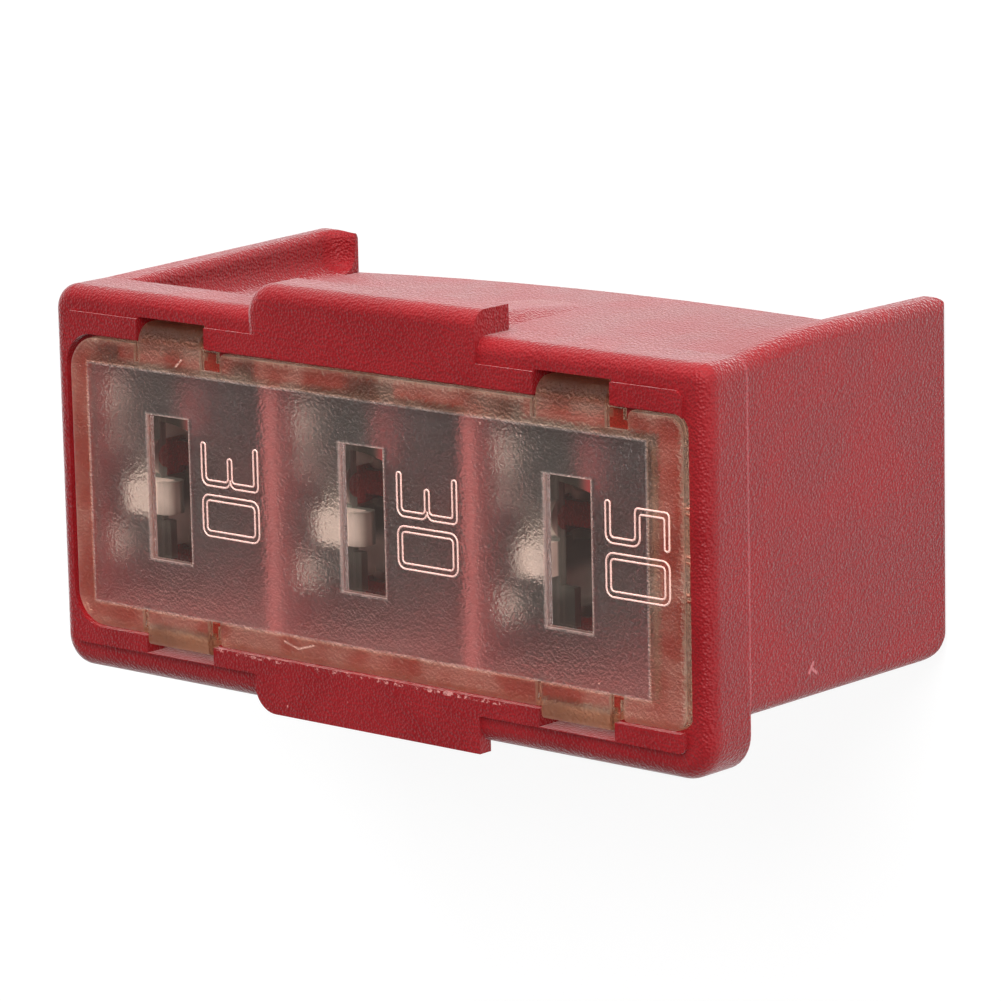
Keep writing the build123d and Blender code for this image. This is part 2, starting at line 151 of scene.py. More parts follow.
class SurfaceGraph(NodeGraph):
    """The node tree of a new material. Lengths are millimetres of the object."""

    def __init__(self, name: str) -> None:
        """Starts an empty material.

        Args:
            name: the material's name.
        """
        self.material = bpy.data.materials.new(name)
        super().__init__(self.material)
        metres = self.node("ShaderNodeTexCoord").outputs["Object"]
        self.place = self.vector("SCALE", metres, scale=1 / MM)
        self.x, self.y, self.z = self.node("ShaderNodeSeparateXYZ", {0: self.place}).outputs

    def vector(
        self, operation: str, a: Socket, b: Socket | Sequence[float] | None = None, scale: float = 1.0
    ) -> Socket:
        """One vector step.

        Args:
            operation: the step's name in Blender.
            a: the first vector.
            b: the second vector, which SCALE does without.
            scale: the factor for SCALE.

        Returns:
            A number for DOT_PRODUCT and DISTANCE, otherwise a vector.
        """
        inputs = {0: a, "Scale": scale} if b is None else {0: a, 1: b}
        made = self.node("ShaderNodeVectorMath", inputs, operation=operation)
        is_number = operation in ("DOT_PRODUCT", "DISTANCE")
        return made.outputs["Value" if is_number else "Vector"]

    def step(self, value: Socket, start: float, end: float) -> Socket:
        """0 at start and 1 at end, with a smooth ramp between them."""
        inputs = {"Value": value, "From Min": start, "From Max": end}
        return self.node("ShaderNodeMapRange", inputs, interpolation_type="SMOOTHSTEP").outputs["Result"]

    def between(self, value: Socket, low: float, high: float, soft: float) -> Socket:
        """1 where the value lies from low to high, fading to 0 over soft at either end."""
        return self.product(self.step(value, low - soft, low), self.step(value, high + soft, high))

    def inside(self, area: Area, soft_x: float, soft_y: float) -> Socket:
        """A mask over an upright rectangle.

        Args:
            area: the rectangle.
            soft_x: how far outside its left and right sides the mask fades out.
            soft_y: the same for its bottom and top.

        Returns:
            1 inside the rectangle and 0 well outside it.
        """
        across = self.between(self.x, area.left, area.right, soft_x)
        along = self.between(self.y, area.bottom, area.top, soft_y)
        return self.product(across, along)

    def noise(self, size: float, detail: float, roughness: float = 0.5) -> Socket:
        """Cloudy noise about 0.5 whose lumps are about size across."""
        inputs = {"Vector": self.place, "Scale": 1 / size, "Detail": detail, "Roughness": roughness}
        return self.node("ShaderNodeTexNoise", inputs).outputs["Fac"]

    def cells(self, size: float) -> Socket:
        """Rounded pebbles about size across: 0 in each middle."""
        inputs = {"Vector": self.place, "Scale": 1 / size, "Randomness": 1.0}
        return self.node("ShaderNodeTexVoronoi", inputs, feature="F1").outputs["Distance"]

    def mix(self, share: Socket, a: Socket | Color, b: Socket | Color) -> Socket:
        """Mixes two colours.

        Args:
            share: how much of the second colour there is.
            a: the first colour.
            b: the second colour.

        Returns:
            Colour a where share is 0 and b where it is 1.
        """
        made = self.node("ShaderNodeMix", {0: share}, data_type="RGBA")
        # a colour mix has its colours in inputs 6 and 7 and its result in output 2
        for number, value in ((6, a), (7, b)):
            if isinstance(value, Socket):
                self.tree.links.new(value, made.inputs[number])
            else:
                made.inputs[number].default_value = opaque(value)
        return made.outputs[2]

    def blend(self, share: Socket, a: float, b: float) -> Socket:
        """Number a where share is 0 and b where it is 1."""
        return self.node("ShaderNodeMix", {0: share, 2: a, 3: b}, data_type="FLOAT").outputs[0]

    def bump(self, height: Socket, depth: float) -> Socket:
        """The surface's normal, bent by a relief from 0 to 1 that is depth millimetres deep."""
        inputs = {"Strength": 1.0, "Distance": depth * MM, "Height": height}
        return self.node("ShaderNodeBump", inputs).outputs["Normal"]

    def frame_gap(self, area: Area) -> Socket:
        """Compares each point with an upright rectangle in x and y.

        Args:
            area: the rectangle.

        Returns:
            How far the point lies outside it, and less than 0 inside it.
        """
        gaps = []
        for value, low, high in ((self.x, area.left, area.right), (self.y, area.bottom, area.top)):
            offset = self.math("ABSOLUTE", self.math("SUBTRACT", value, (low + high) / 2))
            gaps.append(self.math("SUBTRACT", offset, (high - low) / 2))
        return self.largest(gaps)

    def scratch(self, line: Line, width: float) -> Socket:
        """A scratch along a straight line.

        A point's offset from the line's start, taken along the line and held from 0 to 1, gives the
        nearest place on it. The result is 1 near that place and 0 at width away.

        Args:
            line: the scratch's two ends.
            width: how far from the line it fades out.

        Returns:
            The mask.
        """
        start, end = np.array(line, float)
        along = end - start
        offset = self.vector("SUBTRACT", self.place, tuple(start))
        share = self.vector("DOT_PRODUCT", offset, tuple(along / along.dot(along)))
        share = self.math("ADD", share, 0.0, use_clamp=True)
        foot = self.node("ShaderNodeCombineXYZ", {0: share, 1: share, 2: share}).outputs[0]
        foot = self.vector("MULTIPLY", foot, tuple(along))
        gap = self.vector("DISTANCE", offset, foot)
        return self.step(gap, width, width * SCRATCH_CORE)

    def principled(self, inputs: dict) -> Socket:
        """The main surface shader, with its inputs by name."""
        return self.node("ShaderNodeBsdfPrincipled", inputs).outputs[0]

    def finish(self, shader: Socket) -> bpy.types.Material:
        """Joins the shader to the surface output and gives the material back."""
        self.node("ShaderNodeOutputMaterial", {"Surface": shader})
        return self.material


# ---------------------------------------------------------------- finishes
@dataclass(frozen=True)
class RedNylon:
    """Glass-filled nylon moulding with a pebbled spark-eroded grain all over.

    A fade is a pair of values, and the mask that it gives is 0 at the first and 1 at the second. The softs
    of an area are how far outside it the mask fades out in x and in y.
    """

    color: Color = (0.25, 0.0055, 0.009)
    # the colour of the chalky wear and of the painted glints on the bottom grip
    chalk_and_glint_color: Color = (0.58, 0.26, 0.24)
    # the colour of the scuffs and of the painted highlight on the dividers' tops
    scuff_and_highlight_color: Color = (0.46, 0.12, 0.13)
    cloud_size: float = 4.0
    cloud_shade: float = 0.86
    cloud_fade: Span = (0.35, 0.65)
    roughness: Span = (0.37, 0.47)
    refraction: float = 1.48
    gloss: float = 0.42
    sheen: float = 0.5
    sheen_roughness: float = 0.3
    grain_size: float = 0.135
    grain_depth: float = 0.085
    front_grain: float = 0.5
    flank_grain: float = 0.85
    flank_fade: Span = (17.8, 16.6)
    front_fade: Span = (17.7, 17.85)
    flake_size: float = 0.4
    flake_fade: Span = (0.54, 0.62)
    chalk: Area = Area(-12.0, 8.0, -7.74, -7.55)
    chalk_soft: Span = (1.5, 0.03)
    bottom_grip: Area = Area(-7.5, 6.8, -10.3, -8.4)
    grip_soft: float = 0.1
    speck_size: float = 0.55
    speck_fade: Span = (0.13, 0.09)
    seam: Span = (14.97, 15.03)
    seam_soft: float = 0.04
    seam_fade: Span = (19.7, 20.0)
    nick_width: float = 0.11
    nicks: tuple[Line, ...] = (
        ((20.5, -5.45, 10.4), (20.5, -5.86, 10.7)),
        ((20.5, -5.7, 10.5), (20.5, -5.96, 10.17)),
    )
    dividers: tuple[Area, ...] = (
        Area(-7.05, -6.25, -6.5, 6.1),
        Area(5.55, 6.35, -6.5, 6.1),
    )
    divider_span: Span = (16.0, 17.1)
    divider_soft: Span = (0.05, 0.1)

    def chalk_and_painted_glints(self, graph: SurfaceGraph, rubbing: Socket) -> Socket:
        """Pale wear along the front pad's lower edge, and pale specks on the bottom grip that are painted
        glints of its grain.

        Args:
            graph: the material being built.
            rubbing: fine noise that breaks the wear into flakes.

        Returns:
            The mask.
        """
        flakes = graph.step(rubbing, *self.flake_fade)
        front = graph.step(graph.z, *self.front_fade)
        chalk = graph.product(graph.inside(self.chalk, *self.chalk_soft), front, flakes)
        grip = graph.inside(self.bottom_grip, self.grip_soft, self.grip_soft)
        # painted glints: pale specks where the grip's grain catches the light
        painted_grip_glints = graph.product(grip, graph.step(graph.cells(self.speck_size), *self.speck_fade), flakes)
        return graph.largest([chalk, painted_grip_glints])

    def scuffs_and_highlights(self, graph: SurfaceGraph, rubbing: Socket) -> Socket:
        """Paler marks: a pale line along the seam behind the rim's right side, a nick on that side, and
        painted highlight on the dividers' tops, where light falls on them.

        Args:
            graph: the material being built.
            rubbing: fine noise that breaks up the seam.

        Returns:
            The mask.
        """
        seam = graph.between(graph.z, *self.seam, self.seam_soft)
        scuffs_and_highlights = [graph.product(seam, graph.step(graph.x, *self.seam_fade), rubbing)]
        scuffs_and_highlights.extend(graph.scratch(nick, self.nick_width) for nick in self.nicks)
        # painted highlight: the dividers' tops are made paler where light falls on them
        deep = graph.between(graph.z, *self.divider_span, self.divider_soft[1])
        scuffs_and_highlights.extend(graph.product(graph.inside(area, *self.divider_soft), deep) for area in self.dividers)
        return graph.largest(scuffs_and_highlights)

    def material(self) -> bpy.types.Material:
        """Red with faint clouding and grain, chalky wear, pale specks on the bottom grip that are painted
        glints, pale scuffed lines, and painted highlight on the dividers' tops.

        Returns:
            The material.
        """
        graph = SurfaceGraph("red_nylon")
        clouds = graph.step(graph.noise(self.cloud_size, detail=2.0), *self.cloud_fade)
        rubbing = graph.noise(self.flake_size, detail=3.0, roughness=0.8)
        color = graph.mix(clouds, scaled(self.color, self.cloud_shade), self.color)
        # chalky wear on the front pad, and painted glints as pale specks on the bottom grip
        color = graph.mix(self.chalk_and_painted_glints(graph, rubbing), color, self.chalk_and_glint_color)
        # paler seam and nicks, and painted highlight on the dividers' tops
        color = graph.mix(self.scuffs_and_highlights(graph, rubbing), color, self.scuff_and_highlight_color)
        flank = graph.step(graph.z, *self.flank_fade)
        height = graph.blend(flank, self.front_grain, self.flank_grain)
        grain = graph.product(graph.cells(self.grain_size), height)
        surface = graph.principled(
            {
                "Base Color": color,
                "Roughness": graph.blend(clouds, *self.roughness),
                "IOR": self.refraction,
                "Specular IOR Level": self.gloss,
                "Sheen Weight": self.sheen,
                "Sheen Roughness": self.sheen_roughness,
                "Normal": graph.bump(grain, self.grain_depth),
            }
        )
        return graph.finish(surface)


@dataclass(frozen=True)
class AmberPolycarbonate:
    """Clear amber moulding: frosted face, polished windows, a deeper colour where it is thick, and paler
    patches in the border that are painted glints.

    The milk values are how much of the light the plastic scatters instead of letting it through. The paler
    outlines of the field and the windows are painted highlights.
    """

    thin_color: Color = (0.96, 0.82, 0.77)
    thick_color: Color = (0.9, 0.5, 0.32)
    glint_patch_color: Color = (0.95, 0.68, 0.5)
    latch_color: Color = (0.82, 0.34, 0.17)
    highlight_and_wear_color: Color = (0.92, 0.55, 0.44)
    light_color: Color = (0.97, 0.9, 0.86)
    field: Area = Area(-17.95, 17.3, -6.17, 5.75)
    field_soft: float = 0.05
    window_width: float = 2.8
    window_height: float = 7.13
    edge_width: float = 0.11
    edge_core: float = 0.5
    edge_strength: float = 0.8
    edge_patch_size: float = 0.7
    latch_fade: Span = (6.9, 7.3)
    face_fade: Span = (17.9, 18.1)
    refraction: float = 1.45
    gloss: float = 0.2
    clear_roughness: float = 0.04
    frost_roughness: float = 0.38
    ripple_size: float = 0.15
    ripple_depth: float = 0.14
    glint_patch_size: float = 2.4
    glint_patch_fade: Span = (0.36, 0.62)
    glint_patch_milk: Span = (0.01, 0.08)
    latch_milk: float = 0.2
    passing: float = 0.985
    edge_passing: float = 0.55
    scratch_width: float = 0.07
    scratches: tuple[Line, ...] = (
        ((-5.23, -6.5, 18.2), (-4.3, -6.75, 18.2)),
        ((-4.3, -6.75, 18.2), (-3.34, -6.45, 18.2)),
        ((-11.89, 6.1, 18.2), (-11.5, 6.45, 18.2)),
    )
    speck_spacing: float = 2.1
    speck_fade: Span = (0.032, 0.02)

    def outline(self, graph: SurfaceGraph, gap: Socket) -> Socket:
        """A thin line where a rectangle's gap is 0."""
        return graph.step(graph.math("ABSOLUTE", gap), self.edge_width, self.edge_width * self.edge_core)

    def edge_highlights_and_wear(self, graph: SurfaceGraph, field_gap: Socket, frosted: Socket) -> Socket:
        """Paler lines and dots on the face: painted highlights along the edges of the field and the windows,
        where their walls catch the light, and scratches and specks.

        Args:
            graph: the material being built.
            field_gap: how far each point lies outside the field.
            frosted: 1 where the surface is frosted.

        Returns:
            The mask.
        """
        half_width, half_height = self.window_width / 2, self.window_height / 2
        outlines = [self.outline(graph, field_gap)]
        for center in CIRCUITS:
            window = Area(center - half_width, center + half_width, -half_height, half_height)
            outlines.append(self.outline(graph, graph.frame_gap(window)))
        # painted highlights: patchy paler outlines along the edges of the field and the windows
        patchy = graph.blend(graph.noise(self.edge_patch_size, detail=1.0), 0.0, self.edge_strength)
        edge_highlights = graph.product(graph.largest(outlines), patchy)
        wear = [graph.scratch(scratch, self.scratch_width) for scratch in self.scratches]
        wear.append(graph.step(graph.cells(self.speck_spacing), *self.speck_fade))
        return graph.product(graph.largest([edge_highlights, *wear]), frosted)

    def material(self) -> bpy.types.Material:
        """Clear plastic, with frosting and fine ripples on the face and on the latches.

        Returns:
            The material.
        """
        graph = SurfaceGraph("amber_polycarbonate")
        latch = graph.step(graph.math("ABSOLUTE", graph.y), *self.latch_fade)
        frosted = graph.largest([latch, graph.step(graph.z, *self.face_fade)])
        field_gap = graph.frame_gap(self.field)
        border = graph.step(field_gap, -self.field_soft, self.field_soft)
        # painted glints: paler, milkier patches in the border
        glint_patches = graph.noise(self.glint_patch_size, detail=1.0, roughness=0.6)
        glint_patches = graph.step(glint_patches, *self.glint_patch_fade)
        color = graph.mix(border, self.thin_color, graph.mix(glint_patches, self.thick_color, self.glint_patch_color))
        color = graph.mix(latch, color, self.latch_color)
        milk = graph.product(border, graph.blend(glint_patches, *self.glint_patch_milk), frosted)
        milk = graph.product(milk, graph.blend(latch, 1.0, self.latch_milk))
        edge_highlights_and_wear = self.edge_highlights_and_wear(graph, field_gap, frosted)
        ripples = graph.noise(self.ripple_size, detail=1.0, roughness=0.55)
        # painted edge highlights, scratches and specks: paler, and letting less light through
        passing = graph.blend(edge_highlights_and_wear, self.passing, self.edge_passing)
        surface = graph.principled(
            {
                "Base Color": graph.mix(edge_highlights_and_wear, color, self.highlight_and_wear_color),
                "Roughness": graph.blend(frosted, self.clear_roughness, self.frost_roughness),
                "IOR": self.refraction,
                "Specular IOR Level": self.gloss,
                "Transmission Weight": graph.math("SUBTRACT", passing, milk),
                "Normal": graph.bump(graph.product(ripples, frosted), self.ripple_depth),
            }
        )
        let_through = graph.node("ShaderNodeBsdfTransparent", {"Color": opaque(self.light_color)}).outputs[0]
        rays = graph.node("ShaderNodeLightPath").outputs
        lit = graph.largest([rays["Is Shadow Ray"], rays["Is Diffuse Ray"]])
        mixed = graph.node("ShaderNodeMixShader", {0: lit, 1: surface, 2: let_through})
        return graph.finish(mixed.outputs[0])


@dataclass(frozen=True)
class TinPlate:
    """Copper alloy sheet, tinned bright on the side of the terminals and bare towards the dividers, with
    painted highlights and painted shade.

    The painted shade and bare fades and the reach are measured across from a circuit's middle, and the
    sheet's fade up from the socket face. Each pool is a painted highlight's x and y from that middle, and its
    radius.
    """

    # the colour of the painted highlights
    highlight_color: Color = (0.78, 0.77, 0.74)
    dull_color: Color = (0.28, 0.3, 0.27)
    # the colour of the painted shade
    painted_shade_color: Color = (0.16, 0.2, 0.185)
    bare_color: Color = (0.42, 0.075, 0.09)
    cloud_size: float = 0.9
    roughness: Span = (0.28, 0.46)
    metal: Span = (1.0, 0.2)
    painted_shade_fade: Span = (-5.0, -4.3)
    bare_fade: Span = (-1.1, -0.2)
    reach: float = 6.0
    reach_soft: float = 0.1
    sheet_fade: Span = (16.4, 16.2)
    highlight_pools: tuple[tuple[float, float, float], ...] = (
        (-5.5, 3.9, 1.9),
        (-4.7, 1.7, 1.3),
        (-2.5, -0.8, 2.3),
        (-5.2, -3.4, 1.4),
    )
    highlight_core: float = 0.3
    highlight_strength: Span = (0.6, 1.2)
    grain_size: float = 0.12
    grain_depth: float = 0.003

    def material(self) -> bpy.types.Material:
        """Metal with painted highlight pools that the clouds make brighter or dimmer, painted shade on the
        lower sheet, cloudy roughness, and a bare stretch beside each circuit's middle.

        Returns:
            The material.
        """
        graph = SurfaceGraph("tin_plate")
        clouds = graph.noise(self.cloud_size, detail=2.0, roughness=0.6)
        flat = graph.vector("MULTIPLY", graph.place, (1.0, 1.0, 0.0))
        bare, painted_shade, highlight_pools = [], [], []
        for center in CIRCUITS:
            offset = graph.math("SUBTRACT", graph.x, center)
            near = graph.between(offset, -self.reach, self.reach, self.reach_soft)
            bare.append(graph.product(graph.step(offset, *self.bare_fade), near))
            painted_shade.append(graph.product(graph.step(offset, *self.painted_shade_fade), near))
            # painted highlights: bright spots that stand in for the light the terminals catch
            for across, along, radius in self.highlight_pools:
                away = graph.vector("DISTANCE", flat, (center + across, along, 0.0))
                highlight_pools.append(graph.step(away, radius, radius * self.highlight_core))
        highlight = graph.product(graph.largest(highlight_pools), graph.blend(clouds, *self.highlight_strength))
        sheet = graph.step(graph.z, *self.sheet_fade)
        uncoated = graph.product(graph.largest(bare), sheet)
        color = graph.mix(highlight, self.dull_color, self.highlight_color)
        # painted shade: the lower sheet is darkened from the terminals' side up to the bare stretch
        color = graph.mix(graph.product(graph.largest(painted_shade), sheet), color, self.painted_shade_color)
        surface = graph.principled(
            {
                "Base Color": graph.mix(uncoated, color, self.bare_color),
                "Metallic": graph.blend(graph.largest([highlight, uncoated]), *self.metal),
                "Roughness": graph.blend(clouds, *self.roughness),
                "Normal": graph.bump(graph.noise(self.grain_size, detail=0.0), self.grain_depth),
            }
        )
        return graph.finish(surface)


@dataclass(frozen=True)
class CastTin:
    """Bright cast tin with a pebbled skin."""

    color: Color = (0.95, 0.94, 0.9)
    dull_color: Color = (0.8, 0.78, 0.72)
    cloud_size: float = 0.5
    metal: float = 0.35
    roughness: float = 0.3
    pebble_size: float = 0.35
    pebble_depth: float = 0.03

    def material(self) -> bpy.types.Material:
        """Bright metal with shallow lumps.

        Returns:
            The material.
        """
        graph = SurfaceGraph("cast_tin")
        clouds = graph.noise(self.cloud_size, detail=3.0)
        surface = graph.principled(
            {
                "Base Color": graph.mix(clouds, self.dull_color, self.color),
                "Metallic": self.metal,
                "Roughness": self.roughness,
                "Normal": graph.bump(graph.cells(self.pebble_size), self.pebble_depth),
            }
        )
        return graph.finish(surface)


@dataclass(frozen=True)
class ReliefHighlightPaint:
    """Painted highlight: a pale, opaque colour for the cover's raised lines where they catch the light."""

    color: Color = (0.8, 0.5, 0.44)
    brightening: float = 1.06
    roughness: float = 0.35
    lump_size: float = 0.3
    lump_depth: float = 0.01

    def material(self) -> bpy.types.Material:
        """A pale colour that is painted highlight, with a little unevenness.

        Returns:
            The material.
        """
        graph = SurfaceGraph("relief_painted_highlight")
        lumps = graph.noise(self.lump_size, detail=3.0)
        surface = graph.principled(
            {
                "Base Color": graph.mix(lumps, self.color, scaled(self.color, self.brightening)),
                "Roughness": self.roughness,
                "Normal": graph.bump(lumps, self.lump_depth),
            }
        )
        return graph.finish(surface)


# ---------------------------------------------------------------- mesh helpers
def dress_node(name: str, finish: bpy.types.Material) -> None:
    """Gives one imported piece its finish.

    Args:
        name: the piece's name.
        finish: its material.
    """
    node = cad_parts[name]
    node.data.materials.clear()
    node.data.materials.append(finish)
    log.info("%s: dressed", name)


def mesh_piece(
    name: str, points: np.ndarray, faces: np.ndarray, finish: bpy.types.Material
) -> bpy.types.Object:
    """Makes a smooth mesh object from whole arrays and lets it ride on the block.

    Args:
        name: the piece's name.
        points: one row of x, y and z in millimetres for each vertex.
        faces: one row of vertex numbers for each face, seen anticlockwise from outside.
        finish: its material.

    Returns:
        The object, at the origin, with its place in its mesh.
    """
    mesh = bpy.data.meshes.new(name)
    mesh.from_pydata((points * MM).tolist(), [], faces.tolist())
    mesh.polygons.foreach_set("use_smooth", np.ones(len(faces), bool))
    mesh.materials.append(finish)
    mesh.update()
    piece = bpy.data.objects.new(name, mesh)
    bpy.context.scene.collection.objects.link(piece)
    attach(piece, "root")
    log.info("%s: %d faces", name, len(faces))
    return piece


def rounded_loop(corners: Sequence[Corner], arc_steps: int) -> np.ndarray:
    """Points round a closed outline whose corners are arcs.

    Each corner is cut by a circle that touches both of its sides. The tangent length is radius divided by
    the tangent of half the corner's angle, and the arc is sampled evenly between the touching points.

    Args:
        corners: x, y and radius of each corner, in order; a radius of 0 gives a sharp corner.
        arc_steps: steps along each arc.

    Returns:
        One row of x and y for each point.
    """
    data = np.array(corners, float)
    place, radius = data[:, :2], np.maximum(data[:, 2], SHARP)
    back = np.roll(place, 1, axis=0) - place
    ahead = np.roll(place, -1, axis=0) - place
    back /= np.linalg.norm(back, axis=1)[:, None]
    ahead /= np.linalg.norm(ahead, axis=1)[:, None]
    half_angle = np.arccos(np.clip((back * ahead).sum(1), -1, 1)) / 2
    middle = back + ahead
    middle /= np.linalg.norm(middle, axis=1)[:, None]
    center = place + middle * (radius / np.sin(half_angle))[:, None]
    first = place + back * (radius / np.tan(half_angle))[:, None] - center
    last = place + ahead * (radius / np.tan(half_angle))[:, None] - center
    start = np.arctan2(first[:, 1], first[:, 0])
    turn = np.arctan2(last[:, 1], last[:, 0]) - start
    turn = (turn + np.pi) % (2 * np.pi) - np.pi
    angle = start[:, None] + turn[:, None] * np.linspace(0, 1, arc_steps + 1)[None, :]
    ring = np.stack([np.cos(angle), np.sin(angle)], axis=2) * radius[:, None, None]
    return (center[:, None, :] + ring).reshape(-1, 2)


def bead_along(path: np.ndarray, level: float, radius: float, sides: int) -> tuple[np.ndarray, np.ndarray]:
    """A round bead carried along a closed flat path.

    The section is a circle in the plane of the path's sideways normal and +Z, so vertex (i, j) is
    path i plus radius times (cos j along the normal, sin j along Z).

    Args:
        path: one row of x and y for each point, in millimetres.
        level: the height of the bead's middle.
        radius: the bead's radius.
        sides: steps round the section.

    Returns:
        The vertices and the four-sided faces.
    """
    ahead = np.roll(path, -1, axis=0) - np.roll(path, 1, axis=0)
    ahead /= np.linalg.norm(ahead, axis=1)[:, None]
    sideways = np.stack([ahead[:, 1], -ahead[:, 0]], axis=1)
    angle = np.linspace(0, 2 * np.pi, sides, endpoint=False)
    flat = path[:, None, :] + radius * np.cos(angle)[None, :, None] * sideways[:, None, :]
    height = np.broadcast_to(level + radius * np.sin(angle)[None, :], flat.shape[:2])
    points = np.concatenate([flat, height[:, :, None]], axis=2).reshape(-1, 3)
    i, j = np.meshgrid(np.arange(len(path)), np.arange(sides), indexing="ij")
    i_next, j_next = (i + 1) % len(path), (j + 1) % sides
    faces = np.stack([i * sides + j, i_next * sides + j, i_next * sides + j_next, i * sides + j_next], axis=2)
    return points, faces.reshape(-1, 4)


# ---------------------------------------------------------------- housing
@dataclass(frozen=True)
class GripGusset:
    """Soft ridge that carries the top grip back into the body's crown."""

    center: float = -0.15
    flat: float = 1.05
    half_width: float = 2.7
    front: float = 15.1
    rear: float = 3.2
    rise: float = 0.975
    sink: float = 0.03
    depth: float = 0.3
    crown_points: tuple[tuple[float, float], ...] = ((-17.8, 7.73), (0.7, 8.325), (19.2, 7.98))
    columns: int = 49
    rows: int = 65

    def crown(self, x: np.ndarray) -> np.ndarray:
        """The body's top: the upper arc of the circle through the three crown points.

        Args:
            x: where along the row of circuits.

        Returns:
            The top's y at each x.
        """
        (ax, ay), (bx, by), (cx, cy) = self.crown_points
        sides = 2 * np.array([[bx - ax, by - ay], [cx - ax, cy - ay]])
        sums = np.array([bx**2 - ax**2 + by**2 - ay**2, cx**2 - ax**2 + cy**2 - ay**2])
        middle_x, middle_y = np.linalg.solve(sides, sums)
        radius = np.hypot(ax - middle_x, ay - middle_y)
        return middle_y + np.sqrt(radius**2 - (x - middle_x) ** 2)

    def build(self, finish: bpy.types.Material) -> bpy.types.Object:
        """Makes the ridge as a closed shell whose lower half lies inside the body.

        The top is the crown plus rise times v, where v goes from 0 at the rear to 1 at the front. That height
        is whole over the flat middle and falls by 3 s squared minus 2 s cubed to 0 at the ridge's sides.

        Args:
            finish: the housing's material.

        Returns:
            The ridge.
        """
        u, v = np.meshgrid(np.linspace(-1, 1, self.columns), np.linspace(0, 1, self.rows), indexing="ij")
        x = self.center + self.half_width * u
        z = self.rear + (self.front - self.rear) * v
        s = np.clip((np.abs(x - self.center) - self.flat) / (self.half_width - self.flat), 0, 1)
        share = 1 - s * s * (3 - 2 * s)
        y = self.crown(x) - self.sink + (self.rise + self.sink) * v * share
        upper = np.stack([x, y, z], axis=2).reshape(-1, 3)
        lower = np.stack([x, self.crown(x) - self.depth, z], axis=2).reshape(-1, 3)
        number = np.arange(len(upper)).reshape(self.columns, self.rows)
        top = np.stack([number[:-1, :-1], number[:-1, 1:], number[1:, 1:], number[1:, :-1]], axis=2)
        top = top.reshape(-1, 4)
        base = top[:, ::-1] + len(upper)
        around = np.concatenate([number[0, :-1], number[:-1, -1], number[-1, :0:-1], number[:0:-1, 0]])
        ahead = np.roll(around, -1)
        walls = np.stack([ahead, around, around + len(upper), ahead + len(upper)], axis=1)
        points, faces = np.concatenate([upper, lower]), np.concatenate([top, base, walls])
        piece = mesh_piece("grip_gusset", points, faces, finish)
        return piece


@dataclass(frozen=True)
class Housing:
    """The red moulding with its rim, grips, wings and cells."""

    finish: RedNylon = RedNylon()
    gusset: GripGusset = GripGusset()

    def dress(self) -> None:
        """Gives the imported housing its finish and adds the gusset's soft skin."""
        material = self.finish.material()
        dress_node("housing", material)
        self.gusset.build(material)


# ---------------------------------------------------------------- cover
class Numeral(Enum):
    """The numerals on the cover."""

    THREE = "3"
    FIVE = "5"
    ZERO = "0"


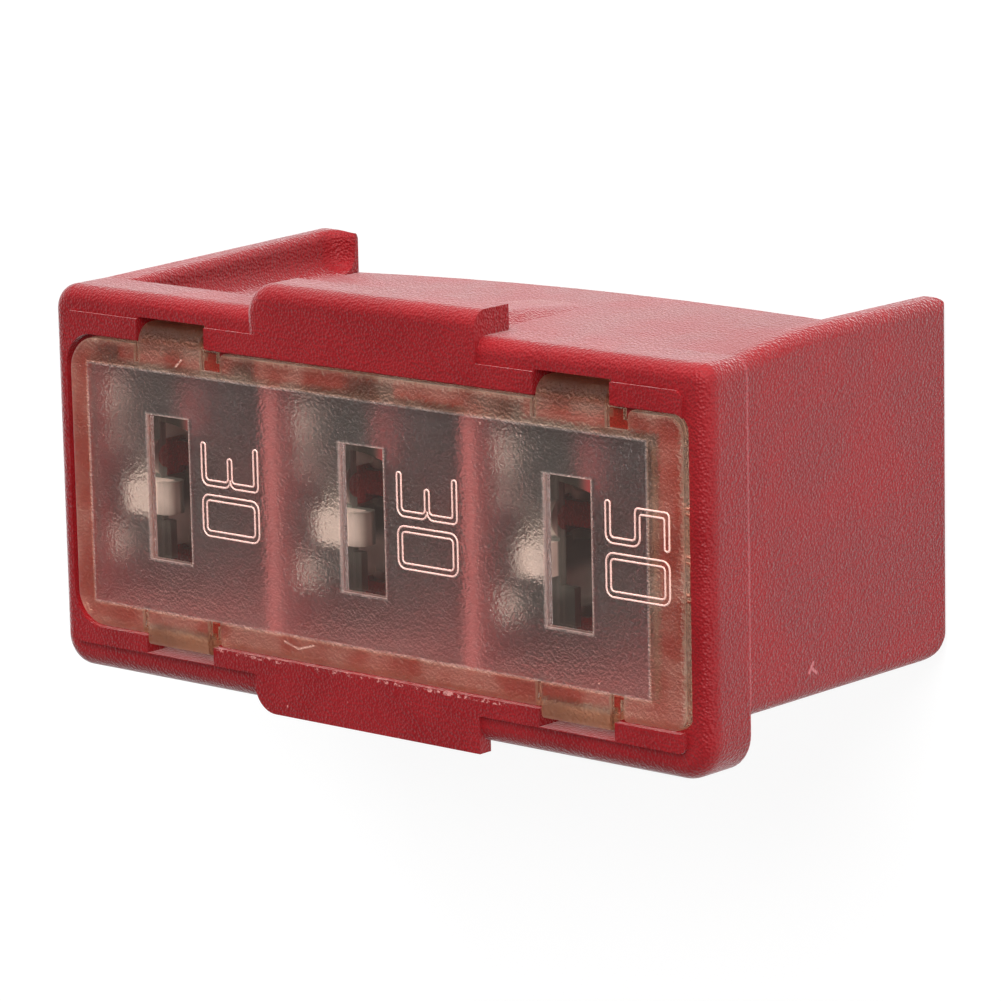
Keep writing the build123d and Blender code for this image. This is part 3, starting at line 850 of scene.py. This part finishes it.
@dataclass(frozen=True)
class Numerals:
    """Raised double lines of the current ratings, read with the top grip to the left.

    A glyph's own axes are u, along the reading direction, and v, towards its top. On the cover u runs down
    and v runs to the right. A glyph's lines run half a stroke to either side of its strokes' middles.
    """

    height: float = 3.42
    middle: float = 1.72
    stroke: float = 0.27
    zero_width: float = 1.76
    three_width: float = 1.8
    five_width: float = 1.5
    gap: float = 0.72
    outer_radius: float = 0.42
    inner_radius: float = 0.2
    tip_radius: float = 0.12
    three_upper_radius: float = 0.252
    three_waist_radius: float = 0.378
    three_waist_depth: float = 0.22
    three_waist_step: float = 0.001
    three_arm_start: float = 0.5
    five_tail: float = 0.3
    bead_radius: float = 0.052
    bead_sides: int = 10
    arc_steps: int = 6
    left: float = 2.38
    top: float = 2.45
    level: float = 18.18
    # painted highlight on the raised lines
    finish: ReliefHighlightPaint = ReliefHighlightPaint()

    def width(self, numeral: Numeral) -> float:
        """Looks up a glyph's width.

        Args:
            numeral: which glyph.

        Returns:
            The width between the middles of its outer strokes.
        """
        widths = {
            Numeral.THREE: self.three_width,
            Numeral.FIVE: self.five_width,
            Numeral.ZERO: self.zero_width,
        }
        return widths[numeral]

    def box_line(self, outset: float, radius: float) -> list[Corner]:
        """A closed line along the zero's strokes.

        Args:
            outset: how far it runs outside the middles of the strokes.
            radius: the radius of its corners.

        Returns:
            u, v and radius of its four corners.
        """
        left, right = -outset, self.zero_width + outset
        bottom, top = -outset, self.height + outset
        return [(left, bottom, radius), (right, bottom, radius), (right, top, radius), (left, top, radius)]

    def lines(self, numeral: Numeral) -> list[list[Corner]]:
        """The closed lines that edge a glyph's strokes.

        Args:
            numeral: which glyph.

        Returns:
            For each line, u, v and corner radius of its corners in order.
        """
        half = self.stroke / 2
        if numeral is Numeral.ZERO:
            return [self.box_line(half, self.outer_radius), self.box_line(-half, self.inner_radius)]
        outer, inner, tip = self.outer_radius, self.inner_radius, self.tip_radius
        width, top, middle = self.width(numeral), self.height, self.middle
        if numeral is Numeral.FIVE:
            return [
                [
                    (-self.five_tail, -half, tip),
                    (width + half, -half, outer),
                    (width + half, middle + half, outer),
                    (half, middle + half, tip),
                    (half, top - half, tip),
                    (width + half, top - half, tip),
                    (width + half, top + half, tip),
                    (-half, top + half, inner),
                    (-half, middle - half, inner),
                    (width - half, middle - half, inner),
                    (width - half, half, inner),
                    (-self.five_tail, half, tip),
                ]
            ]
        # at the waist the outer line runs in to a sharp notch and back out a hair higher
        waist = self.three_waist_radius
        return [
            [
                (-half, -half, tip),
                (width + half, -half, outer),
                (width + half, middle, waist),
                (width - self.three_waist_depth, middle, 0.0),
                (width + half, middle + self.three_waist_step, waist),
                (width + half, top + half, self.three_upper_radius),
                (-half, top + half, tip),
                (-half, top - half, tip),
                (width - half, top - half, tip),
                (width - half, middle + half, inner),
                (self.three_arm_start, middle + half, tip),
                (self.three_arm_start, middle - half, tip),
                (width - half, middle - half, inner),
                (width - half, half, inner),
                (-half, half, tip),
            ]
        ]

    def build(self, name: str, center: float, numerals: Sequence[Numeral]) -> bpy.types.Object:
        """Makes the numerals of one circuit.

        Args:
            name: the piece's name.
            center: x of the circuit's middle.
            numerals: the glyphs from top to bottom.

        Returns:
            The piece.
        """
        points, faces, start, offset = [], [], 0, 0.0
        for numeral in numerals:
            for line in self.lines(numeral):
                glyph = rounded_loop(line, self.arc_steps)
                path = np.stack([center + self.left + glyph[:, 1], self.top - offset - glyph[:, 0]], axis=1)
                more_points, more_faces = bead_along(path, self.level, self.bead_radius, self.bead_sides)
                points.append(more_points)
                faces.append(more_faces + start)
                start += len(more_points)
            offset += self.width(numeral) + self.gap
        piece = mesh_piece(name, np.concatenate(points), np.concatenate(faces), self.finish.material())
        return piece


@dataclass(frozen=True)
class Cover:
    """The snap-on cover with its frosted face, clear windows and raised ratings."""

    finish: AmberPolycarbonate = AmberPolycarbonate()
    numerals: Numerals = Numerals()
    ratings: tuple[tuple[Numeral, ...], ...] = (
        (Numeral.THREE, Numeral.ZERO),
        (Numeral.THREE, Numeral.ZERO),
        (Numeral.FIVE, Numeral.ZERO),
    )

    def dress(self) -> None:
        """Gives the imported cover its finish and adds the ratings."""
        dress_node("cover", self.finish.material())
        for number, (center, rating) in enumerate(zip(CIRCUITS, self.ratings), start=1):
            self.numerals.build(f"rating_{number}", center, rating)


# ---------------------------------------------------------------- fuse elements
@dataclass(frozen=True)
class FuseElements:
    """The three stamped elements and their pellets."""

    plate: TinPlate = TinPlate()
    pellet: CastTin = CastTin()

    def dress(self) -> None:
        """Gives each element and pellet its finish."""
        plate, pellet = self.plate.material(), self.pellet.material()
        for number in range(1, len(CIRCUITS) + 1):
            dress_node(f"fuse_element_{number}", plate)
            dress_node(f"tin_pellet_{number}", pellet)


# ---------------------------------------------------------------- studio
@dataclass(frozen=True)
class Lamp:
    """A square soft lamp that looks at the block's middle, with its size in millimetres and power in watts.

    A lamp that isn't mirrored lights the block, but gloss and glass don't show it.
    """

    name: str
    place: Point
    size: float
    power: float
    mirrored: bool


@dataclass(frozen=True)
class Studio:
    """White floor, pale surroundings, three soft lamps and the camera.

    As a direction's upward part goes from the first to the second value of upward, the strength of the
    surroundings goes from the first to the second value of sky_strength.
    """

    aim: Point = (0.0, 0.0, 9.0)
    camera_place: Point = (164.54, 50.57, 196.22)
    camera_aim: Point = (-6.49, -2.72, 0.94)
    camera_upward: Point = (0.0277, 1.0, 0.0)
    clipping: Span = (10.0, 10000.0)
    lens: float = 190.6
    floor_size: float = 4000.0
    floor_color: Color = (0.8, 0.8, 0.8)
    floor_shaded: Color = (0.14, 0.14, 0.14)
    floor_glow: float = 0.9
    world_light: float = 0.35
    upward: Span = (0.25, 0.6)
    sky_strength: Span = (1.0, 0.03)
    lamps: tuple[Lamp, ...] = (
        Lamp("lamp_above", (-60, 420, 120), 360.0, 3.2, False),
        Lamp("lamp_front", (160, 260, 420), 260.0, 1.6, True),
        Lamp("lamp_side", (460, 60, 120), 260.0, 1.2, False),
    )

    def build(self) -> None:
        """Makes the floor, the world, the lamps and the camera."""
        self.floor()
        self.world()
        for lamp in self.lamps:
            self.lamp(lamp)
        self.camera()
        bpy.context.scene.view_settings.view_transform = "Standard"

    def floor(self) -> None:
        """A white floor that keeps a soft shadow: part of what it shows is light, part is its own glow."""
        graph = SurfaceGraph("floor_white")
        plain = graph.node("ShaderNodeBsdfDiffuse", {"Color": opaque(self.floor_color)}).outputs[0]
        shaded = graph.node("ShaderNodeBsdfDiffuse", {"Color": opaque(self.floor_shaded)}).outputs[0]
        glow = {"Color": opaque((1.0, 1.0, 1.0)), "Strength": self.floor_glow}
        white = graph.node("ShaderNodeEmission", glow).outputs[0]
        shown = graph.node("ShaderNodeAddShader", {0: shaded, 1: white}).outputs[0]
        mixed = graph.node("ShaderNodeMixShader", {0: graph.seen(), 1: plain, 2: shown}).outputs[0]
        half = self.floor_size / 2
        mesh = bpy.data.meshes.new("floor")
        corners = np.array([(-half, -half, 0), (half, -half, 0), (half, half, 0), (-half, half, 0)]) * MM
        mesh.from_pydata(corners.tolist(), [], [(0, 1, 2, 3)])
        mesh.materials.append(graph.finish(mixed))
        floor = bpy.data.objects.new("floor", mesh)
        bpy.context.scene.collection.objects.link(floor)

    def world(self) -> None:
        """Surroundings that look pale at the horizon and dim overhead, and are even and low as light."""
        world = bpy.data.worlds.new("surroundings")
        bpy.context.scene.world = world
        graph = NodeGraph(world)
        direction = graph.node("ShaderNodeTexCoord").outputs["Generated"]
        upward = graph.node("ShaderNodeSeparateXYZ", {0: direction}).outputs["Z"]
        (low, high), (first, last) = self.upward, self.sky_strength
        ramp = {"Value": upward, "From Min": low, "From Max": high, "To Min": first, "To Max": last}
        strength = graph.node("ShaderNodeMapRange", ramp, interpolation_type="SMOOTHSTEP").outputs["Result"]
        light = graph.node("ShaderNodeBackground", {"Strength": self.world_light}).outputs[0]
        shown = graph.node("ShaderNodeBackground", {"Strength": strength}).outputs[0]
        mixed = graph.node("ShaderNodeMixShader", {0: graph.seen(), 1: light, 2: shown}).outputs[0]
        graph.node("ShaderNodeOutputWorld", {"Surface": mixed})

    def lamp(self, lamp: Lamp) -> None:
        """Adds one soft lamp.

        Args:
            lamp: its place, size and power.
        """
        data = bpy.data.lights.new(lamp.name, "AREA")
        data.shape = "SQUARE"
        data.size = lamp.size * MM
        data.energy = lamp.power
        made = bpy.data.objects.new(lamp.name, data)
        made.location = Vector(lamp.place) * MM
        made.rotation_mode = "QUATERNION"
        made.rotation_quaternion = (Vector(self.aim) - Vector(lamp.place)).to_track_quat("-Z", "Y")
        bpy.context.scene.collection.objects.link(made)
        made.visible_glossy = lamp.mirrored
        made.visible_transmission = lamp.mirrored

    def camera(self) -> None:
        """Sets the camera from its place, its aim and the direction that is up in the picture."""
        data = bpy.data.cameras.new("camera")
        data.lens = self.lens
        data.clip_start, data.clip_end = (distance * MM for distance in self.clipping)
        back = (Vector(self.camera_place) - Vector(self.camera_aim)).normalized()
        right = Vector(self.camera_upward).cross(back).normalized()
        up = back.cross(right)
        turn = Matrix((right, up, back)).transposed().to_4x4()
        camera = bpy.data.objects.new("camera", data)
        camera.matrix_world = Matrix.Translation(Vector(self.camera_place) * MM) @ turn
        bpy.context.scene.collection.objects.link(camera)
        bpy.context.scene.camera = camera


def main() -> None:
    """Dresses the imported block, adds what it lacks and sets up the studio."""
    logging.basicConfig(level=logging.INFO, format="%(message)s")
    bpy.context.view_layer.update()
    Studio().build()
    Housing().dress()
    Cover().dress()
    FuseElements().dress()


if __name__ == "__main__":
    main()
